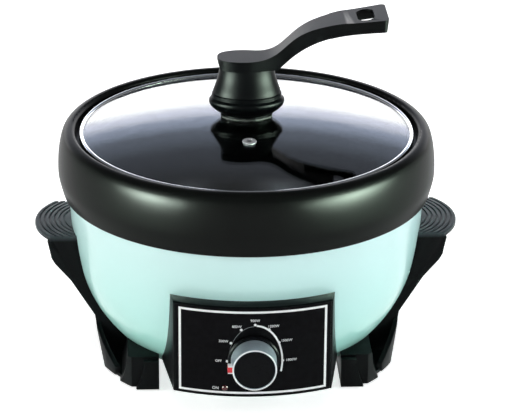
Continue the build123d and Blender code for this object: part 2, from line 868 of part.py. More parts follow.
def support_pocket():
    """Hollow under the foot, open at the bottom, with a wall left all round."""
    wall = support_wall
    low = foot_pad_proud - 1
    leg = block(
        (foot_inner_x + wall, -grip_half_depth + wall, low),
        (leg_waist_x - wall, grip_half_depth - wall, leg_waist_z),
    )
    rib = block((foot_inner_x, -wall / 2, 0), (foot_radius, wall / 2, leg_waist_z))
    return leg - bowl_plug(-slip - wall) - rib


def make_support():
    leg = prism_y(outline_xz(leg_profile()), grip_half_depth, 2 * grip_half_depth)
    front = make_toe(toe_radius, toe_front, toe_outer_x, toe_height)
    front += make_toe(band_radius, band_front, band_outer_x, toe_height + 2)
    front += make_wing()
    floor_plan = foot_plan(foot_radius - 1, band_front - 10, band_outer_x + 12)
    foot_floor = prism_z(floor_plan, foot_pad_proud, support_wall)
    front += foot_floor
    support = leg + make_grip() + front + mirror(front, about=Plane.XZ)
    support -= bowl_plug(-slip)
    support -= support_pocket()
    for x, y in pad_places():
        support -= Pos(x, y, 0) * disc(pad_radius + slip, 0, foot_pad_proud + pad_recess + slip)
    for hole in support_screw_holes(slip):
        support -= hole
    return support


def pad_places():
    toe_x = foot_inner_x + pad_radius + 1.5
    toe_y = toe_front - pad_radius - 3
    return [(toe_x, -toe_y), (toe_x, toe_y)]


def make_foot_pads():
    pads = []
    for x, y in pad_places():
        for side in (-1, 1):
            pad = disc(pad_radius, 0, foot_pad_proud + pad_recess)
            pad = chamfer(pad.edges().group_by(Axis.Z)[0], 1.0)
            pads.append(Pos(side * x, y, 0) * pad)
    return group(pads)


def support_screw_places():
    """Depth and height of the screws that hold each support to the shell."""
    return [(y, grip_top - 16) for y in (-grip_half_depth / 2, grip_half_depth / 2)]


def support_screw_holes(clearance):
    holes = []
    for y, z in support_screw_places():
        for side in (-1, 1):
            bar = rod_x(support_screw_radius + clearance, 0.8 * bowl_radius, grip_end_x - 4, y, z)
            holes.append(bar if side > 0 else mirror(bar, about=Plane.YZ))
    return holes


def make_support_screws():
    screws = []
    for y, z in support_screw_places():
        inside = bowl_wall_radius(z) - shell_wall
        seat = sqrt(inside ** 2 - (abs(y) + support_screw_head_radius) ** 2) - 1.6
        shank = rod_x(support_screw_radius, seat, grip_end_x - 5, y, z)
        head = rod_x(support_screw_head_radius, seat - support_screw_head_height, seat, y, z)
        screws.append(shank + head)
        screws.append(mirror(shank + head, about=Plane.YZ))
    return group(screws)


# ---- Control box ----
def box_plan(front_radius, inset, back_y):
    """Plan of the control box, its front curved about the pot's axis."""
    front = box_front_half - inset
    back = box_back_half - inset
    corner_y = -sqrt(front_radius ** 2 - front ** 2)
    curve = RadiusArc((-front, corner_y), (front, corner_y), -front_radius)
    curve += Polyline((front, corner_y), (back, -back_y), (-back, -back_y), (-front, corner_y))
    return make_face(curve)


def fascia_band(inner, outer, margin):
    """Curved plate between two radii, as wide and tall as the fascia less a margin."""
    half = box_front_half - fascia_margin - margin
    low = box_bottom + fascia_margin + margin
    high = box_top - fascia_margin - margin
    ring = disc(outer, low, high) - disc(inner, low - 1, high + 1)
    return ring & block((-half, -outer - 1, low), (half, -0.7 * inner, high))


def box_screw_places():
    return [(x, z) for x in (-box_screw_x, box_screw_x) for z in (box_screw_low, box_screw_high)]


def make_control_box():
    body = prism_z(box_plan(face_radius, 0, box_back_y), box_bottom, box_height)
    front_wall = face_radius - fascia_thickness - box_wall
    hollow_plan = box_plan(front_wall, box_wall, box_back_y)
    hollow = prism_z(hollow_plan, box_bottom + box_wall, box_height - 2 * box_wall)
    front_top = body.edges().filter_by(GeomType.CIRCLE).group_by(Axis.Z)[-1]
    body = chamfer(front_top, box_edge)
    bosses = [rod_y(box_boss_radius, -box_back_y, -face_radius, x, z) & body for x, z in box_screw_places()]
    half_w = regulator_width / 2 + regulator_pad_margin
    half_h = regulator_height / 2 + regulator_pad_margin
    pad = block(
        (-half_w, -face_radius, dial_z - half_h), (half_w, regulator_seat_y - slip, dial_z + half_h)
    )
    pad &= body
    body -= hollow
    for added in bosses + [pad]:
        body += added
    body -= fascia_band(face_radius - fascia_thickness, face_radius + 1, 0)
    for x, z in box_screw_places():
        body -= rod_y(box_screw_radius + slip, -box_back_y, -front_wall + box_screw_bite, x, z)
    body -= bowl_plug(-slip)
    body -= rod_y(bushing_radius + slip, -box_back_y, -face_radius, 0, dial_z)
    body -= rod_y(lamp_radius + slip, -box_back_y, -face_radius, lamp_x, lamp_z)
    return body


def make_control_fascia():
    fascia = fascia_band(face_radius - fascia_thickness + slip / 2, face_radius, slip)
    fascia -= rod_y(bushing_radius + slip, -box_back_y, -face_radius - 1, 0, dial_z)
    return fascia - rod_y(lamp_radius + slip, -box_back_y, -face_radius - 1, lamp_x, lamp_z)


def make_power_regulator():
    seat = regulator_seat_y
    half_w = regulator_width / 2
    half_h = regulator_height / 2
    case = block((-half_w, seat, dial_z - half_h), (half_w, seat + regulator_depth, dial_z + half_h))
    case = chamfer(case.edges().filter_by(Axis.Y), 3)
    bushing = rod_y(bushing_radius, seat + 1, -face_radius - bushing_stand_out, 0, dial_z)
    back = seat + regulator_depth
    bore = rod_y(shaft_radius + running, back - 4, -face_radius - bushing_stand_out - 1, 0, dial_z)
    regulator = case + bushing - bore
    for x in (-12, 12):
        for z in (dial_z - 8, dial_z + 8):
            regulator += block((x - 2.5, back - 1, z - 0.4), (x + 2.5, back + regulator_tag_length, z + 0.4))
    return regulator


def make_regulator_nut():
    seat = -face_radius
    blank = Pos(0, seat - slip, dial_z) * extrude(
        Plane.XZ * RegularPolygon(nut_flat / 2, 6, major_radius=False), nut_thickness
    )
    return blank - rod_y(bushing_radius + slip, seat + 1, seat - nut_thickness - 1, 0, dial_z)


def make_indicator_lamp():
    seat = -(face_radius - fascia_thickness - box_wall) + 4.0
    tube = rod_y(lamp_radius, seat + 14, seat - 3, lamp_x, lamp_z)
    lead = rod_y(0.5, seat + 20, seat + 13, lamp_x, lamp_z)
    return tube + Pos(1.2, 0, 0) * lead + Pos(-1.2, 0, 0) * lead


def make_lamp_lens():
    back = -(face_radius - fascia_thickness - box_wall) + 1.0
    place = sqrt(face_radius ** 2 - lamp_x ** 2)
    stem = rod_y(lamp_radius, back, -place - 0.2, lamp_x, lamp_z)
    dome = Pos(lamp_x, -place - 0.2, lamp_z) * scale(Sphere(lamp_radius), by=(1, 0.45, 1))
    return stem + dome


def make_box_screws():
    screws = []
    for x, z in box_screw_places():
        inside = bowl_wall_radius(z) - shell_wall
        reach = 4.0 + support_screw_head_radius
        seat = -sqrt(inside ** 2 - (abs(x) + 0.4 * reach) ** 2) + reach
        shank = rod_y(box_screw_radius, seat, seat - box_screw_length, x, z)
        head = rod_y(support_screw_head_radius - 0.5, seat + 2.4, seat, x, z)
        screws.append(shank + head)
    return group(screws)


# ---- Control knob ----
def make_regulator_shaft():
    start = regulator_seat_y + regulator_depth - 4.5
    end = knob_front + 5
    shaft = rod_y(shaft_radius, start, end, 0, dial_z)
    flat_start = -face_radius - bushing_stand_out - 1
    flat = block(
        (-shaft_radius, end - 1, dial_z + shaft_flat), (shaft_radius, flat_start, dial_z + shaft_radius + 1)
    )
    return shaft - flat


def knob_turned(curve):
    """Solid of revolution about the dial's axis from (radius, distance in front of the pot's axis)."""
    face = make_face(Pos(0, 0, dial_z) * (Plane.XY * curve))
    return revolve(face, Axis((0, 0, dial_z), (0, 1, 0)))


def make_control_knob():
    collar_front = knob_back - knob_collar_height
    core = sleeve_front_radius - sleeve_wall - slip
    blank = Polyline(
        (0, knob_back - 6),
        (knob_collar_radius - 4, knob_back - 0.5),
        (knob_collar_radius - 4, knob_back),
        (knob_collar_radius, knob_back),
        (knob_collar_radius, collar_front + 0.8),
        (knob_collar_radius - 0.8, collar_front),
        (core, collar_front),
        (core, knob_front + 0.6),
        (0, knob_front + 0.6),
        close=True,
    )
    knob = knob_turned(blank)
    pocket = rod_y(nut_flat * 0.75, knob_back + 1, -face_radius - bushing_stand_out - 1.5, 0, dial_z)
    knob -= pocket
    bore = rod_y(shaft_radius + slip, knob_back + 1, knob_front + 4.5, 0, dial_z)
    knob -= bore & block(
        (-nut_flat, knob_front, 0), (nut_flat, knob_back + 1, dial_z + shaft_flat + slip)
    )
    return knob - pointer_block(slip)


def make_knob_sleeve():
    back = knob_back - knob_collar_height
    sleeve = Polyline(
        (sleeve_front_radius - sleeve_wall, back),
        (sleeve_radius, back),
        (sleeve_front_radius, knob_front + 0.8),
        (sleeve_front_radius - 0.5, knob_front),
        (sleeve_front_radius - sleeve_wall, knob_front),
        close=True,
    )
    return knob_turned(sleeve) - pointer_block(slip)


def pointer_block(clearance):
    """Pointer that stands out of the knob's side at nine o'clock, the rest position."""
    half = pointer_width / 2 + clearance
    inner = sleeve_front_radius - sleeve_wall - 2.5 - clearance
    front = knob_front + pointer_setback
    return block(
        (-pointer_reach, front - clearance, dial_z - half),
        (-inner, front + pointer_length + clearance, dial_z + half),
    )


def make_knob_pointer():
    pointer = pointer_block(0)
    return fillet(pointer.edges().filter_by(Axis.Y).group_by(Axis.X)[0], 1.2)


# ---- Power inlet ----
def inlet_screw_places():
    half = inlet_width / 2 + inlet_flange_margin / 2 + 0.2
    return [(-half, inlet_z), (half, inlet_z)]


def inlet_screw_holes(clearance):
    return [
        rod_y(inlet_screw_radius + clearance, grip_reach, inside_bowl, x, z)
        for x, z in inlet_screw_places()
    ]


def inlet_floor_y():
    """Place of the mouth's floor along Y, level with the bowl around the inlet."""
    return bowl_wall_radius(inlet_z) - inlet_floor


def make_power_inlet():
    half_w = inlet_width / 2
    half_h = inlet_height / 2
    margin = inlet_flange_margin
    flange = bowl_plug(-slip - inlet_flange_thickness) & block(
        (-half_w - margin, inside_bowl, inlet_z - half_h - margin / 2),
        (half_w + margin, inlet_reach, inlet_z + half_h + margin / 2),
    )
    back = inlet_reach - inlet_length
    shroud = block((-half_w, back, inlet_z - half_h), (half_w, inlet_reach, inlet_z + half_h))
    shroud = fillet(shroud.edges().filter_by(Axis.Y), 6)
    inlet = flange + shroud - bowl_plug(-slip)
    insert_w = half_w - inlet_wall - slip
    insert_h = half_h - inlet_wall - slip
    inlet += block(
        (-insert_w, inlet_reach - inlet_insert_length, inlet_z - insert_h),
        (insert_w, inlet_floor_y(), inlet_z + insert_h),
    )
    mouth = block(
        (-half_w + inlet_wall, inlet_floor_y(), inlet_z - half_h + inlet_wall),
        (half_w - inlet_wall, inlet_reach + 1, inlet_z + half_h - inlet_wall),
    )
    inlet -= fillet(mouth.edges().filter_by(Axis.Y), 4)
    for x in (-pin_spread, pin_spread):
        inlet -= rod_y(pin_radius + slip, inlet_reach, back, x, inlet_z)
    for hole in inlet_screw_holes(slip):
        inlet -= hole
    return inlet


def make_inlet_pins():
    pins = []
    for x in (-pin_spread, pin_spread):
        pin = rod_y(pin_radius, inlet_reach - 2.5, inlet_reach - inlet_length, x, inlet_z)
        pins.append(chamfer(pin.edges().group_by(Axis.Y)[-1], 0.8))
    return group(pins)


def make_inlet_screws():
    radius = bowl_wall_radius(inlet_z) + inlet_flange_thickness
    screws = []
    for x, z in inlet_screw_places():
        seat = sqrt(radius ** 2 - (abs(x) - 2.6) ** 2) + 2.4
        head = rod_y(2.9, seat + 1.6, seat, x, z)
        shank = rod_y(inlet_screw_radius, seat, seat - inlet_screw_length, x, z)
        screws.append(head + shank)
    return group(screws)


def make_terminal_block():
    inner = shell_floor_hole + terminal_margin
    half_w = terminal_width / 2
    top = floor_top + terminal_height
    body = block((-half_w, -inner - terminal_depth, floor_top), (half_w, -inner, top))
    for step in (-1, 0, 1):
        body -= Pos(step * terminal_width / 3, -inner - terminal_depth / 2, 0) * disc(2, top - 5, top + 1)
    return body


# ---- Build and write every piece ----
right_support = make_support()
pieces = {
    "lid_glass": make_lid_glass(),
    "lid_rim": make_lid_rim(),
    "vent_eyelet": make_vent_eyelet(),
    "knob_gasket": make_knob_gasket(),
    "knob_base": make_knob_base(),
    "lid_handle": make_lid_handle(),
    "lid_screw": make_lid_screw(),
    "lid_washer": make_lid_washer(),
    "inner_pot": make_inner_pot(),
    "bowl_shell": make_bowl_shell(),
    "support_ring": make_support_ring(),
    "bottom_cover": make_bottom_cover(),
    "cover_screws": make_cover_screws(),
    "plate_posts": make_plate_posts(),
    "heating_plate": make_heating_plate(),
    "heating_element": make_heating_element(),
    "heat_reflector": make_heat_reflector(),
    "thermal_cutout": make_thermal_cutout(),
    "right_support": right_support,
    "left_support": mirror(right_support, about=Plane.YZ),
    "support_screws": make_support_screws(),
    "foot_pads": make_foot_pads(),
    "control_box": make_control_box(),
    "control_fascia": make_control_fascia(),
    "power_regulator": make_power_regulator(),
    "regulator_nut": make_regulator_nut(),
    "indicator_lamp": make_indicator_lamp(),
    "lamp_lens": make_lamp_lens(),
    "box_screws": make_box_screws(),
    "regulator_shaft": make_regulator_shaft(),
    "control_knob": make_control_knob(),
    "knob_sleeve": make_knob_sleeve(),
    "knob_pointer": make_knob_pointer(),
    "power_inlet": make_power_inlet(),
    "inlet_pins": make_inlet_pins(),
    "inlet_screws": make_inlet_screws(),
    "terminal_block": make_terminal_block(),
}

os.makedirs("parts", exist_ok=True)
for name, piece in pieces.items():
    export_step(piece, f"parts/{name}.step")
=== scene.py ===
import bpy
import json
from math import cos, pi, radians, sin
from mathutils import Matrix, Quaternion, Vector


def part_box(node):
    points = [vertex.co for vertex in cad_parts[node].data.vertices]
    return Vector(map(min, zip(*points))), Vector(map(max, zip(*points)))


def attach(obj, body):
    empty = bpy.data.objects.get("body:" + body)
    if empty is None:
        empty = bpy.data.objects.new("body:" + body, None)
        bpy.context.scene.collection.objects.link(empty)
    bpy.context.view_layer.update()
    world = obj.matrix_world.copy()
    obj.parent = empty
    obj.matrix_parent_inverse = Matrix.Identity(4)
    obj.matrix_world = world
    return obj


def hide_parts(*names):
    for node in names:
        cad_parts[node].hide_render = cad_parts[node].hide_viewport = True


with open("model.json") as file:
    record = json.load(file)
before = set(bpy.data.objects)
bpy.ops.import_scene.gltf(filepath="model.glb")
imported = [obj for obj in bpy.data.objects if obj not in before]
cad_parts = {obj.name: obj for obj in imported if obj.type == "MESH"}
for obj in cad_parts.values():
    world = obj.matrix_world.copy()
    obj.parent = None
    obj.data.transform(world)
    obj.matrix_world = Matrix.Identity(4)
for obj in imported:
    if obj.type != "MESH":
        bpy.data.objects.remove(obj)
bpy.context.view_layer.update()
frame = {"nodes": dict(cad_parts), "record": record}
slotOf = {part["node"]: part["material_slot"] for part in frame["record"]["subparts"]}
bodyOf = {node: body for body, nodes in frame["record"]["behaviour"]["bodies"].items() for node in nodes}

camera = {
    "aim": (0.0, 0.0, 0.1608),
    "distance": 2.105,
    "elevation": 22.07,
    "swing": 2.45,         # towards -X
    "roll": 0.34,
    "lens": 163.0,
    "shift": (0.021, -0.065),
}


def deselectAll():
    if bpy.context.object and bpy.context.object.mode != "OBJECT":
        bpy.ops.object.mode_set(mode="OBJECT")
    bpy.ops.object.select_all(action="DESELECT")


def makeOnlyActive(piece):
    deselectAll()
    piece.select_set(True)
    bpy.context.view_layer.objects.active = piece


def lookAlong(piece, target, roll=0.0):
    direction = Vector(target) - piece.location
    turn = direction.to_track_quat("-Z", "Y") @ Quaternion((0, 0, 1), radians(roll))
    piece.rotation_euler = turn.to_euler()


def addCamera():
    level = cos(radians(camera["elevation"]))
    rise = sin(radians(camera["elevation"]))
    swing = radians(camera["swing"])
    offset = Vector((-level * sin(swing), -level * cos(swing), rise)) * camera["distance"]
    bpy.ops.object.camera_add(location=Vector(camera["aim"]) + offset)
    eye = bpy.context.object
    eye.name = "studioCamera"
    lookAlong(eye, camera["aim"], camera["roll"])
    eye.data.sensor_width = 36
    eye.data.lens = camera["lens"]
    eye.data.shift_x, eye.data.shift_y = camera["shift"]
    bpy.context.scene.camera = eye


# softboxes that light every surface and show in none
bowlMiddle = (0, 0, 0.15)
lamps = {
    "keySoftbox": {"at": (-2.1, -1.0, 0.8), "size": (1.2, 1.2), "power": 29, "tint": (1, 0.99, 0.97)},
    "fillSoftbox": {"at": (2.15, -0.9, 0.75), "size": (1.0, 1.2), "power": 30, "tint": (0.95, 0.98, 1)},
    "lowSoftbox": {"at": (0, -2.4, 0.25), "size": (2.8, 0.4), "power": 8, "tint": (1, 1, 1)},
    "topSoftbox": {"at": (0, -0.3, 1.9), "size": (1.6, 1.2), "power": 8, "tint": (1, 1, 1)},
    "backSoftbox": {"at": (0, 2.2, 0.7), "size": (3.0, 1.0), "power": 26, "tint": (1, 1, 1)},
}
# cards that show as highlights on the collar and in the glass lid, and light nothing else
coolTint = (0.8, 0.9, 1)
cards = {
    "backCard": {"at": (0, 2.5, 1.3), "size": (5.0, 2.6), "strength": 2.9, "tint": (1, 1, 1)},
    "leftSpotCard": {"at": (-0.22, 1.4, 1.65), "size": (0.4, 0.3), "strength": 0.5, "tint": coolTint},
    "rightSpotCard": {"at": (0.22, 1.4, 1.65), "size": (0.4, 0.3), "strength": 0.5, "tint": coolTint},
    "leftStripCard": {
        "at": (-1.13, -0.74, 0.24), "size": (1.5, 0.62), "strength": 270, "tint": (0.83, 1, 0.87)
    },
    "rightStripCard": {
        "at": (1.16, -0.68, 0.24), "size": (2.0, 0.66), "strength": 250, "tint": (0.78, 1, 0.82)
    },
}
# how bright the back card is, from its foot to its top
backFade = [
    (0.065, (0.02, 0.02, 0.025)),
    (0.157, (0.9, 0.9, 0.93)),
    (0.327, (1.0, 1.0, 1.0)),
    (0.4, (0.66, 0.68, 0.8)),
    (0.48, (0.27, 0.31, 0.41)),
    (0.58, (0.095, 0.112, 0.15)),
    (0.74, (0.03, 0.036, 0.05)),
    (1.0, (0.008, 0.009, 0.012)),
]


def addLamps():
    for name, lamp in lamps.items():
        bpy.ops.object.light_add(type="AREA", location=lamp["at"])
        light = bpy.context.object
        light.name = name
        light.data.shape = "RECTANGLE"
        light.data.size, light.data.size_y = lamp["size"]
        light.data.energy = lamp["power"]
        light.data.color = lamp["tint"]
        light.visible_glossy = False
        light.visible_transmission = False
        lookAlong(light, bowlMiddle)


def combine(nodes, links, operation, *values):
    # a math node over sockets and plain numbers
    result = nodes.new("ShaderNodeMath")
    result.operation = operation
    for place, value in enumerate(values):
        if isinstance(value, (int, float)):
            result.inputs[place].default_value = value
        else:
            links.new(value, result.inputs[place])
    return result.outputs["Value"]


def backgroundRays(nodes, links, share=1):
    # 1 for rays from the camera, and the share for those that the object mirrors or passes on
    seen = nodes.new("ShaderNodeLightPath").outputs
    passed = combine(nodes, links, "MAXIMUM", seen["Is Glossy Ray"], seen["Is Transmission Ray"])
    held = combine(nodes, links, "MULTIPLY", passed, share)
    return combine(nodes, links, "MAXIMUM", seen["Is Camera Ray"], held)


def remap(nodes, links, value, start, end, low, high):
    # a value between start and end becomes one between low and high
    scale = nodes.new("ShaderNodeMapRange")
    for socket, number in zip(("From Min", "From Max", "To Min", "To Max"), (start, end, low, high)):
        scale.inputs[socket].default_value = number
    links.new(value, scale.inputs["Value"])
    return scale.outputs["Result"]


def heightOf(nodes, links, vector, axis="Z"):
    # one axis of a place, Z unless another is named
    split = nodes.new("ShaderNodeSeparateXYZ")
    links.new(vector, split.inputs["Vector"])
    return split.outputs[axis]


sky = {
    "colour": (0.86, 0.9, 0.95),
    "strength": 0.16,
    "whiteUpTo": 0.06,     # Z of the direction where the white horizon starts to fade
    "whiteGone": 0.3,
}


def addWorld():
    world = bpy.data.worlds.new("studioWorld")
    bpy.context.scene.world = world
    world.use_nodes = True
    nodes, links = world.node_tree.nodes, world.node_tree.links
    shade = nodes["Background"]
    shade.inputs["Color"].default_value = (*sky["colour"], 1)
    shade.inputs["Strength"].default_value = sky["strength"]
    white = nodes.new("ShaderNodeBackground")
    white.inputs["Color"].default_value = (1, 1, 1, 1)
    pick = nodes.new("ShaderNodeMixShader")
    # what the object mirrors or passes on is white round the horizon, under a darker ceiling
    place = nodes.new("ShaderNodeTexCoord")
    rise = heightOf(nodes, links, place.outputs["Generated"])
    horizon = remap(nodes, links, rise, sky["whiteUpTo"], sky["whiteGone"], 1, 0)
    links.new(backgroundRays(nodes, links, horizon), pick.inputs["Fac"])
    links.new(shade.outputs["Background"], pick.inputs[1])
    links.new(white.outputs["Background"], pick.inputs[2])
    links.new(pick.outputs["Shader"], nodes["World Output"].inputs["Surface"])


def colourRamp(nodes, links, value, stops, interpolation="LINEAR"):
    # colours at places between 0 and 1, first and last on the two stops that a new ramp has
    ramp = nodes.new("ShaderNodeValToRGB")
    ramp.color_ramp.interpolation = interpolation
    for stop, (position, colour) in zip(ramp.color_ramp.elements, (stops[0], stops[-1])):
        stop.position = position
        stop.color = (*colour, 1)
    for position, colour in stops[1:-1]:
        ramp.color_ramp.elements.new(position).color = (*colour, 1)
    links.new(value, ramp.inputs["Fac"])
    return ramp.outputs["Color"]


def bandGlow(nodes, links, place):
    # brightness of the back card by height, a window band that fades out above
    height = heightOf(nodes, links, place.outputs["Generated"], "Y")
    return colourRamp(nodes, links, height, backFade, "EASE")


def spotGlow(nodes, links, place):
    # brightness of the other cards, fading out all round to nothing at their edges
    grow = nodes.new("ShaderNodeMapping")
    grow.inputs["Scale"].default_value = (2, 2, 2)
    fade = nodes.new("ShaderNodeTexGradient")
    fade.gradient_type = "QUADRATIC_SPHERE"
    links.new(place.outputs["Object"], grow.inputs["Vector"])
    links.new(grow.outputs["Vector"], fade.inputs["Vector"])
    return fade.outputs["Color"]


def addCards():
    for name, card in cards.items():
        bpy.ops.mesh.primitive_plane_add(size=1, location=card["at"])
        sheet = bpy.context.object
        sheet.name = name
        sheet.scale = (*card["size"], 1)
        lookAlong(sheet, (0, 0, card["at"][2]) if name == "backCard" else bowlMiddle)
        material = bpy.data.materials.new(name)
        material.use_nodes = True
        nodes, links = material.node_tree.nodes, material.node_tree.links
        nodes.remove(nodes["Principled BSDF"])
        place = nodes.new("ShaderNodeTexCoord")
        glow = nodes.new("ShaderNodeEmission")
        clear = nodes.new("ShaderNodeBsdfTransparent")
        both = nodes.new("ShaderNodeAddShader")
        seen = nodes.new("ShaderNodeLightPath")
        power = combine(nodes, links, "MULTIPLY", seen.outputs["Is Glossy Ray"], card["strength"])
        shape = bandGlow if name == "backCard" else spotGlow
        tint = nodes.new("ShaderNodeMixRGB")
        tint.blend_type = "MULTIPLY"
        tint.inputs["Fac"].default_value = 1
        tint.inputs["Color2"].default_value = (*card["tint"], 1)
        links.new(shape(nodes, links, place), tint.inputs["Color1"])
        links.new(tint.outputs["Color"], glow.inputs["Color"])
        links.new(power, glow.inputs["Strength"])
        links.new(clear.outputs["BSDF"], both.inputs[0])
        links.new(glow.outputs["Emission"], both.inputs[1])
        links.new(both.outputs["Shader"], nodes["Material Output"].inputs["Surface"])
        sheet.data.materials.append(material)


floorPaint = {
    "size": 14,
    "colour": (0.93, 0.93, 0.93),
    "glowNear": 0.7,       # leaves the shadow under the feet
    "glowFar": 1.0,
    "near": 0.6,           # metres from the middle
    "far": 2.0,
}


def addFloor():
    bpy.ops.mesh.primitive_plane_add(size=floorPaint["size"], location=(0, 0, 0))
    floor = bpy.context.object
    floor.name = "paleFloor"
    material = bpy.data.materials.new("paleFloor")
    material.use_nodes = True
    nodes, links = material.node_tree.nodes, material.node_tree.links
    paint = nodes["Principled BSDF"]
    paint.inputs["Base Color"].default_value = (*floorPaint["colour"], 1)
    paint.inputs["Roughness"].default_value = 0.9
    paint.inputs["Specular IOR Level"].default_value = 0.1
    glow = nodes.new("ShaderNodeEmission")
    glow.inputs["Color"].default_value = (1, 1, 1, 1)
    place = nodes.new("ShaderNodeTexCoord")
    reach = nodes.new("ShaderNodeVectorMath")
    reach.operation = "LENGTH"
    links.new(place.outputs["Object"], reach.inputs[0])
    span = [floorPaint[key] for key in ("near", "far", "glowNear", "glowFar")]
    links.new(remap(nodes, links, reach.outputs["Value"], *span), glow.inputs["Strength"])
    both = nodes.new("ShaderNodeAddShader")
    pick = nodes.new("ShaderNodeMixShader")
    links.new(paint.outputs["BSDF"], both.inputs[0])
    links.new(glow.outputs["Emission"], both.inputs[1])
    links.new(backgroundRays(nodes, links), pick.inputs["Fac"])
    links.new(paint.outputs["BSDF"], pick.inputs[1])
    links.new(both.outputs["Shader"], pick.inputs[2])
    links.new(pick.outputs["Shader"], nodes["Material Output"].inputs["Surface"])
    floor.data.materials.append(material)


addCamera()
addLamps()
addWorld()
addFloor()
addCards()
bpy.context.scene.view_settings.view_transform = "Standard"
print("stage: camera, lamps, world, floor and cards")


def newFinish(name, colour, rough, metal=0.0, **sockets):
    # a plain finish, with other sockets of the shader given by name
    material = bpy.data.materials.new(name)
    material.use_nodes = True
    shader = material.node_tree.nodes["Principled BSDF"]
    shader.inputs["Base Color"].default_value = (*colour, 1)
    shader.inputs["Roughness"].default_value = rough
    shader.inputs["Metallic"].default_value = metal
    for socket, value in sockets.items():
        shader.inputs[socket.replace("_", " ")].default_value = value
    return material


def bumpFrom(nodes, links, height, strength, depth):
    bump = nodes.new("ShaderNodeBump")
    bump.inputs["Strength"].default_value = strength
    bump.inputs["Distance"].default_value = depth
    links.new(height, bump.inputs["Height"])
    return bump.outputs["Normal"]


speckle = {"colourSpan": (0.3, 0.7), "detail": 3, "roughSpan": 0.06, "leastRough": 0.02, "bumpDepth": 0.0004}


def addSpeckle(material, darker, lighter, size, strength, stretch):
    # fine colour and roughness variation with a slight bump, from Object coordinates
    nodes, links = material.node_tree.nodes, material.node_tree.links
    shader = nodes["Principled BSDF"]
    place = nodes.new("ShaderNodeTexCoord")
    scale = nodes.new("ShaderNodeMapping")
    scale.inputs["Scale"].default_value = stretch
    noise = nodes.new("ShaderNodeTexNoise")
    noise.inputs["Scale"].default_value = size
    noise.inputs["Detail"].default_value = speckle["detail"]
    links.new(place.outputs["Object"], scale.inputs["Vector"])
    links.new(scale.outputs["Vector"], noise.inputs["Vector"])
    grain = noise.outputs["Fac"]
    stops = list(zip(speckle["colourSpan"], (darker, lighter)))
    links.new(colourRamp(nodes, links, grain, stops), shader.inputs["Base Color"])
    base = shader.inputs["Roughness"].default_value
    smoothest = max(base - speckle["roughSpan"], speckle["leastRough"])
    rough = remap(nodes, links, grain, 0, 1, smoothest, base + speckle["roughSpan"])
    links.new(rough, shader.inputs["Roughness"])
    links.new(bumpFrom(nodes, links, grain, strength, speckle["bumpDepth"]), shader.inputs["Normal"])
    return material


# the colour stops by height are painted light and shade, lighter where the rim takes the light and darker
# towards the foot
mint = {
    "colours": [(0, (0.44, 0.92, 0.78)), (0.5, (0.54, 0.9, 0.84)), (1, (0.68, 0.95, 0.93))],
    "heights": (0.01, 0.15),
    "rough": 0.22,
    "flakeScale": 900,
    "flakeBump": 0.015,
    "flakeDepth": 0.0002,
}


def mintPaint():
    # gloss paint with painted light and shade by height: paler towards the rim and greener, darker towards
    # the foot
    shine = {"Coat_Weight": 0.15, "Coat_Roughness": 0.08, "Specular_IOR_Level": 0.4}
    material = newFinish("mintPaint", mint["colours"][1][1], mint["rough"], **shine)
    nodes, links = material.node_tree.nodes, material.node_tree.links
    shader = nodes["Principled BSDF"]
    place = nodes.new("ShaderNodeTexCoord")
    # painted light and shade: the base colour follows height through the ramp
    height = remap(nodes, links, heightOf(nodes, links, place.outputs["Object"]), *mint["heights"], 0, 1)
    links.new(colourRamp(nodes, links, height, mint["colours"]), shader.inputs["Base Color"])
    flake = nodes.new("ShaderNodeTexNoise")
    flake.inputs["Scale"].default_value = mint["flakeScale"]
    links.new(place.outputs["Object"], flake.inputs["Vector"])
    bump = bumpFrom(nodes, links, flake.outputs["Fac"], mint["flakeBump"], mint["flakeDepth"])
    links.new(bump, shader.inputs["Normal"])
    return material


glass = {"tint": (0.93, 0.97, 0.98), "index": 1.5, "smearScale": 14, "roughness": (0.004, 0.03)}


def clearGlass():
    # tempered glass with faint smears
    material = newFinish("clearGlass", glass["tint"], 0.01, Transmission_Weight=1, IOR=glass["index"])
    nodes, links = material.node_tree.nodes, material.node_tree.links
    place = nodes.new("ShaderNodeTexCoord")
    smear = nodes.new("ShaderNodeTexNoise")
    smear.inputs["Scale"].default_value = glass["smearScale"]
    links.new(place.outputs["Object"], smear.inputs["Vector"])
    rough = remap(nodes, links, smear.outputs["Fac"], 0, 1, *glass["roughness"])
    links.new(rough, nodes["Principled BSDF"].inputs["Roughness"])
    return material


def speckled(name, colour, rough, metal, size, spread=0.25, strength=0.02, stretch=(1, 1, 1), **sockets):
    # size is the noise's scale, spread how far the colour varies, strength the bump's
    material = newFinish(name, colour, rough, metal, **sockets)
    darker = [value * (1 - spread) for value in colour]
    lighter = [min(value * (1 + spread), 1) for value in colour]
    return addSpeckle(material, darker, lighter, size, strength, stretch)


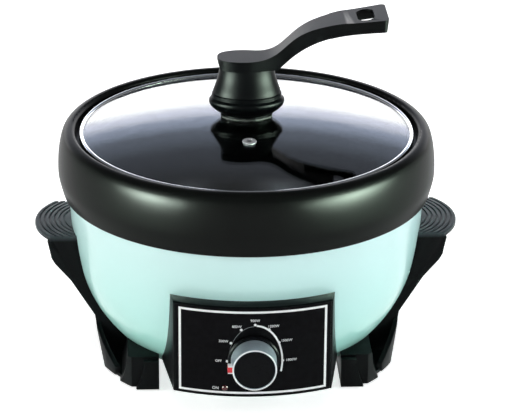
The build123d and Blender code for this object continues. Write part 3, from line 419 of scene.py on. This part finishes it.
finishes = {
    "clear_glass": clearGlass(),
    "bright_steel": speckled("brightSteel", (0.78, 0.79, 0.8), 0.14, 1.0, 60, 0.06, 0.01, (1, 1, 12)),
    "silicone": speckled("blackSilicone", (0.02, 0.02, 0.02), 0.6, 0.0, 500),
    "black_bakelite": speckled(
        "blackBakelite", (0.0015, 0.0019, 0.0022), 0.34, 0.0, 700, 0.35, 0.05, Specular_IOR_Level=0.055
    ),
    "screw_steel": speckled("zincSteel", (0.5, 0.5, 0.52), 0.35, 1.0, 800),
    "pot_metal": speckled(
        "bronzeCoat", (0.004, 0.0046, 0.0042), 0.36, 0.0, 900, 0.15, 0.012,
        Specular_IOR_Level=0.03, Coat_Weight=0.07, Coat_Roughness=0.17
    ),
    "mint_paint": mintPaint(),
    "eyelet_steel": speckled("eyeletSteel", (0.5, 0.5, 0.52), 0.4, 0.35, 300, 0.05),
    "plated_sheet": speckled("platedSheet", (0.6, 0.61, 0.62), 0.4, 1.0, 90, 0.12),
    "cast_plate": speckled("castPlate", (0.42, 0.42, 0.43), 0.38, 1.0, 600, 0.15, 0.04),
    "element_steel": speckled("elementSteel", (0.16, 0.15, 0.15), 0.5, 0.8, 400, 0.3),
    "box_plastic": speckled(
        "boxPlastic", (0.002, 0.0025, 0.0028), 0.3, 0.0, 600, 0.3, 0.03, Specular_IOR_Level=0.05
    ),
    "fascia_black": speckled(
        "fasciaGloss", (0.003, 0.003, 0.0036), 0.2, 0.0, 200, 0.3, 0.0, Specular_IOR_Level=0.03
    ),
    "regulator_body": speckled("phenolicBody", (0.32, 0.2, 0.1), 0.5, 0.0, 250, 0.2),
    "lens_red": speckled("redLens", (0.05, 0.003, 0.004), 0.2, 0.0, 300, 0.1, 0.0),
    "knob_black": speckled(
        "knobBlack", (0.003, 0.0033, 0.004), 0.3, 0.0, 500, 0.3, 0.02, Specular_IOR_Level=0.05
    ),
    "sleeve_silver": speckled("sleeveSilver", (0.34, 0.41, 0.46), 0.4, 0.6, 120, 0.1, 0.02, (1, 8, 1)),
    "pointer_red": speckled("pointerRed", (0.62, 0.012, 0.02), 0.3, 0.0, 300, 0.1),
    "pad_rubber": speckled("padRubber", (0.018, 0.018, 0.018), 0.75, 0.0, 400, 0.3, 0.1),
    "pin_brass": speckled("pinPlating", (0.66, 0.62, 0.5), 0.25, 1.0, 300, 0.1),
    "terminal_white": speckled("terminalCeramic", (0.72, 0.71, 0.66), 0.5, 0.0, 300, 0.08),
}
# painted highlight on the grips' ribs, from a little below the supports' top up to it
grip = {
    "top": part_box("right_support")[1][2],
    "highlightStart": 0.0055,      # below the top, where the painted highlight on the ribs begins and the grooves are still black
    "highlightFull": 0.0002,
    "highlightColour": (0.05, 0.06, 0.066),
}


def gripPlastic():
    # the supports' plastic, with a painted highlight, a lighter colour, along the tops of the ribbed grips
    material = speckled(
        "gripPlastic", (0.002, 0.0024, 0.0027), 0.36, 0.0, 700, 0.35, 0.05, Specular_IOR_Level=0.05
    )
    nodes, links = material.node_tree.nodes, material.node_tree.links
    shader = nodes["Principled BSDF"]
    base = shader.inputs["Base Color"].links[0].from_socket
    place = nodes.new("ShaderNodeTexCoord")
    height = heightOf(nodes, links, place.outputs["Object"])
    start, full = grip["top"] - grip["highlightStart"], grip["top"] - grip["highlightFull"]
    # painted highlight: the lighter colour is blended in towards the top of the supports
    mix = nodes.new("ShaderNodeMixRGB")
    mix.inputs["Color2"].default_value = (*grip["highlightColour"], 1)
    links.new(remap(nodes, links, height, start, full, 0, 1), mix.inputs["Fac"])
    links.new(base, mix.inputs["Color1"])
    links.new(mix.outputs["Color"], shader.inputs["Base Color"])
    return material


finishes["grip_plastic"] = gripPlastic()
finishes["bright_line"] = speckled("whitePrint", (0.82, 0.83, 0.83), 0.45, 0.0, 900, 0.04, 0.01)
finishes["grey_line"] = speckled("greyPrint", (0.16, 0.18, 0.19), 0.5, 0.0, 900, 0.04, 0.01)
print("stage: finishes", len(finishes))


def paintNode(node):
    # a node that shows its own mesh
    mesh = frame["nodes"][node].data
    mesh.materials.clear()
    mesh.materials.append(finishes[slotOf[node]])


for node in frame["nodes"]:
    paintNode(node)
print("stage: node finishes", len(frame["nodes"]))


# smooth copies of the moulded, pressed and turned nodes, angles in degrees
skinning = {"weld": 0.00002, "flatWithin": 0.5, "bevelFrom": 32, "bevelSegments": 3}


def dressNode(node, edge=0.0, smooth=35, finish=None):
    # merged copy of a node with rounded edges, which then stands for it
    piece = bpy.data.objects.new(node + "Skin", frame["nodes"][node].data.copy())
    bpy.context.scene.collection.objects.link(piece)
    makeOnlyActive(piece)
    bpy.ops.object.mode_set(mode="EDIT")
    bpy.ops.mesh.select_all(action="SELECT")
    bpy.ops.mesh.remove_doubles(threshold=skinning["weld"])
    bpy.ops.mesh.customdata_custom_splitnormals_clear()
    bpy.ops.mesh.dissolve_limited(angle_limit=radians(skinning["flatWithin"]))
    bpy.ops.object.mode_set(mode="OBJECT")
    if edge:
        rounding = piece.modifiers.new("rounding", "BEVEL")
        rounding.width = edge
        rounding.segments = skinning["bevelSegments"]
        rounding.limit_method = "ANGLE"
        rounding.angle_limit = radians(skinning["bevelFrom"])
        rounding.use_clamp_overlap = True
        bpy.ops.object.modifier_apply(modifier="rounding")
    bpy.ops.object.shade_smooth_by_angle(angle=radians(smooth))
    piece.data.materials.clear()
    piece.data.materials.append(finish or finishes[slotOf[node]])
    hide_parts(node)
    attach(piece, bodyOf[node])
    return piece


# edge is the rounding in metres, smooth the angle up to which faces shade as one
skins = {
    "lid_glass": {"smooth": 30},
    "vent_eyelet": {"smooth": 30, "finish": finishes["eyelet_steel"]},
    "knob_gasket": {"smooth": 30},
    "knob_base": {"smooth": 30},
    "lid_handle": {"edge": 0.0012, "smooth": 40},
    "inner_pot": {"smooth": 30},
    "bowl_shell": {"smooth": 30},
    "support_ring": {"smooth": 30},
    "right_support": {"edge": 0.0008, "finish": finishes["grip_plastic"]},
    "left_support": {"edge": 0.0008, "finish": finishes["grip_plastic"]},
    "foot_pads": {},
    "control_box": {"edge": 0.0008},
    "control_fascia": {},
    "control_knob": {},
    "knob_sleeve": {},
    "knob_pointer": {"edge": 0.0003},
    "lamp_lens": {},
    "power_inlet": {"edge": 0.0005},
    "heating_plate": {},
    "heating_element": {},
}
dressed = {node: dressNode(node, **settings) for node, settings in skins.items()}
print("stage: smooth skins", len(skins))


rimBead = {"half": 0.00195, "points": 28, "steps": 192, "weld": 0.00001, "smooth": 40}


def spinRound(piece, steps, middle, axis):
    # a closed section turns into a ring round the axis
    makeOnlyActive(piece)
    bpy.ops.object.mode_set(mode="EDIT")
    bpy.ops.mesh.select_all(action="SELECT")
    bpy.ops.mesh.spin(steps=steps, angle=2 * pi, center=middle, axis=axis)
    bpy.ops.mesh.select_all(action="SELECT")
    bpy.ops.mesh.remove_doubles(threshold=rimBead["weld"])
    bpy.ops.mesh.normals_make_consistent(inside=False)
    bpy.ops.object.mode_set(mode="OBJECT")


def addRimBead():
    # steel channel with a rolled bead along its top
    low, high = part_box("lid_rim")
    radius, top, bottom = high[0], high[2], low[2]
    half = rimBead["half"]
    deselectAll()
    bpy.ops.mesh.primitive_circle_add(vertices=rimBead["points"], radius=half, rotation=(pi / 2, 0, 0))
    piece = bpy.context.object
    piece.name = "lidRimBead"
    bpy.ops.object.transform_apply(location=True, rotation=True, scale=True)
    for corner in piece.data.vertices:
        # the lower half of the ring becomes the straight wall down to the rim's foot
        if corner.co.z < -rimBead["weld"]:
            corner.co.z = bottom - top + half
        corner.co.x += radius - half
        corner.co.z += top - half
    spinRound(piece, rimBead["steps"], (0, 0, 0), (0, 0, 1))
    bpy.ops.object.shade_smooth_by_angle(angle=radians(rimBead["smooth"]))
    piece.data.materials.append(finishes["bright_steel"])
    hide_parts("lid_rim")
    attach(piece, bodyOf["lid_rim"])


addRimBead()
print("stage: rim bead")


# print on the panel, laid out from its front with x across and z up
panel = {
    "front": -0.172,
    "middle": (-0.0003, 0.067),
    "line": 0.00195,
    "cells": (65, 40),     # frame line's grid, each cell as wide as the line
    "lift": 0.00008,
    "film": 0.00016,
    "slot": "knob_black",
}


def printOnPanel(piece, finish="bright_line"):
    # a flat piece in front of the panel is laid on its curved face and given a film's thickness
    makeOnlyActive(piece)
    bpy.ops.object.transform_apply(location=True, rotation=True, scale=True)
    wrap = piece.modifiers.new("wrap", "SHRINKWRAP")
    wrap.wrap_method = "PROJECT"
    wrap.use_project_y = True
    wrap.use_positive_direction = True
    wrap.use_negative_direction = False
    wrap.wrap_mode = "ABOVE_SURFACE"
    wrap.offset = panel["lift"]
    wrap.target = dressed["control_fascia"]
    bpy.ops.object.modifier_apply(modifier="wrap")
    film = piece.modifiers.new("film", "SOLIDIFY")
    film.thickness = panel["film"]
    film.offset = 0
    bpy.ops.object.modifier_apply(modifier="film")
    bpy.ops.object.mode_set(mode="EDIT")
    bpy.ops.mesh.select_all(action="SELECT")
    bpy.ops.mesh.normals_make_consistent(inside=False)
    bpy.ops.object.mode_set(mode="OBJECT")
    piece.data.materials.clear()
    piece.data.materials.append(finishes[finish])
    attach(piece, bodyOf["control_fascia"])


def standAt(piece, x, z):
    piece.rotation_euler = (pi / 2, 0, 0)
    piece.location = (x, panel["front"], z)


def selectFaces(piece, chosen):
    # leaves edit mode with only the faces that a test picks selected
    bpy.ops.object.mode_set(mode="EDIT")
    bpy.ops.mesh.select_mode(type="FACE")
    bpy.ops.mesh.select_all(action="DESELECT")
    bpy.ops.object.mode_set(mode="OBJECT")
    for face in piece.data.polygons:
        face.select = chosen(face)
    bpy.ops.object.mode_set(mode="EDIT")


def printFrame():
    deselectAll()
    across, up = panel["cells"]
    bpy.ops.mesh.primitive_grid_add(x_subdivisions=across, y_subdivisions=up, size=1)
    piece = bpy.context.object
    piece.name = "panelFrameLine"
    piece.scale = (across * panel["line"], up * panel["line"], 1)
    standAt(piece, *panel["middle"])
    halfAcross, halfUp = 0.5 - 1 / across, 0.5 - 1 / up
    selectFaces(piece, lambda face: abs(face.center.x) < halfAcross and abs(face.center.y) < halfUp)
    bpy.ops.mesh.delete(type="FACE")
    bpy.ops.object.mode_set(mode="OBJECT")
    printOnPanel(piece)


# angles are in degrees anticlockwise from three o'clock, reaches in shares of the oval's half sizes
dial = {
    "centre": (0.0012, 0.0588),
    "half": (0.0226, 0.033),
    "off": 180,
    "step": 30,
    "markReach": 1.05,
    "markRadius": 0.0012,
    "labels": ["OFF", "300W", "600W", "900W", "1200W", "1500W", "1800W"],
    "labelReach": 1.13,
    "labelOut": 0.0056,
    "labelUp": 0.0012,
    "labelSize": 0.0032,
}
arcs = {
    "dialPowerBand": {"start": -17, "end": 88, "width": 0.045, "shift": 0.022, "finish": "bright_line"},
    "dialFineArcOuter": {"start": 93, "end": 176, "width": 0.012, "shift": 0, "finish": "grey_line"},
}
lampLabel = {"words": "ON", "at": (-0.0325, 0.0328), "size": 0.0036}


def dialPoint(angle, reach):
    turn = radians(angle)
    x = dial["centre"][0] + dial["half"][0] * reach * cos(turn)
    return x, dial["centre"][1] + dial["half"][1] * reach * sin(turn)


def printArc(name, arc):
    # ring between the oval and a wider one moved sideways, cut to the sector between two angles
    deselectAll()
    bpy.ops.mesh.primitive_circle_add(vertices=144, radius=1)
    piece = bpy.context.object
    piece.name = name
    bpy.ops.object.mode_set(mode="EDIT")
    bpy.ops.mesh.select_all(action="SELECT")
    bpy.ops.mesh.extrude_edges_move()
    bpy.ops.transform.resize(value=(1 + arc["width"], 1 + arc["width"], 1))
    bpy.ops.transform.translate(value=(arc["shift"], 0, 0))
    bpy.ops.object.mode_set(mode="OBJECT")
    middle, spread = radians((arc["start"] + arc["end"]) / 2), radians((arc["end"] - arc["start"]) / 2)
    away = Vector((cos(middle), sin(middle), 0))
    selectFaces(piece, lambda face: face.center.angle(away) > spread)
    bpy.ops.mesh.delete(type="FACE")
    bpy.ops.object.mode_set(mode="OBJECT")
    piece.scale = (*dial["half"], 1)
    standAt(piece, *dial["centre"])
    printOnPanel(piece, arc["finish"])


def printMark(name, angle):
    deselectAll()
    bpy.ops.mesh.primitive_circle_add(vertices=20, radius=dial["markRadius"], fill_type="NGON")
    piece = bpy.context.object
    piece.name = name
    standAt(piece, *dialPoint(angle, dial["markReach"]))
    printOnPanel(piece)


def printLabel(name, words, x, z, size):
    deselectAll()
    bpy.ops.object.text_add()
    piece = bpy.context.object
    piece.name = name
    piece.data.body = words
    piece.data.size = size
    piece.data.align_x = "CENTER"
    piece.data.align_y = "CENTER"
    piece.data.resolution_u = 3
    makeOnlyActive(piece)
    bpy.ops.object.convert(target="MESH")
    piece = bpy.context.object
    standAt(piece, x, z)
    printOnPanel(piece)


printFrame()
for name, arc in arcs.items():
    printArc(name, arc)
for step, words in enumerate(dial["labels"]):
    angle = dial["off"] - step * dial["step"]
    printMark(f"dialMark{step + 1}", angle)
    sideways = cos(radians(angle))
    x, z = dialPoint(angle, dial["labelReach"])
    x += dial["labelOut"] * sideways
    z += dial["labelUp"] * (1 - abs(sideways))
    printLabel(f"dialLabel{step + 1}", words, x, z, dial["labelSize"])
printLabel("lampLabel", lampLabel["words"], *lampLabel["at"], lampLabel["size"])
print("stage: panel print")


knobHeight = 0.0615
faceRing = {"radius": 0.01835, "wire": 0.00055, "front": -0.192, "points": 12, "steps": 96}


def addFaceRing():
    # thin ring round the knob's face
    deselectAll()
    middle = Vector((0, faceRing["front"], knobHeight))
    section = middle + Vector((faceRing["radius"], 0, 0))
    bpy.ops.mesh.primitive_circle_add(vertices=faceRing["points"], radius=faceRing["wire"], location=section)
    piece = bpy.context.object
    piece.name = "knobFaceRing"
    bpy.ops.object.transform_apply(location=True, rotation=True, scale=True)
    spinRound(piece, faceRing["steps"], middle, (0, 1, 0))
    bpy.ops.object.shade_smooth()
    piece.data.materials.append(finishes["bright_line"])
    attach(piece, bodyOf["knob_sleeve"])


pointerEdge = {"width": 0.0011, "share": 0.96, "out": 0.0003, "forward": 0.0002, "rounding": 0.0003}


def addPointerEdge(name, side):
    # white bar along one side of the red pointer
    low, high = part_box("knob_pointer")
    deselectAll()
    bpy.ops.mesh.primitive_cube_add(size=1)
    piece = bpy.context.object
    piece.name = name
    length, depth = high[0] - low[0], high[1] - low[1]
    piece.scale = (length * pointerEdge["share"], depth * pointerEdge["share"], pointerEdge["width"])
    reach = (high[2] - low[2]) / 2 - pointerEdge["width"] / 2 + pointerEdge["out"]
    forward = (low[1] + high[1]) / 2 - pointerEdge["forward"]
    piece.location = ((low[0] + high[0]) / 2, forward, knobHeight + side * reach)
    bpy.ops.object.transform_apply(location=True, rotation=True, scale=True)
    rounding = piece.modifiers.new("rounding", "BEVEL")
    rounding.width = pointerEdge["rounding"]
    rounding.segments = 2
    bpy.ops.object.modifier_apply(modifier="rounding")
    piece.data.materials.append(finishes["bright_line"])
    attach(piece, bodyOf["knob_pointer"])


addFaceRing()
addPointerEdge("pointerEdgeUpper", 1)
addPointerEdge("pointerEdgeLower", -1)
print("stage: knob trim")
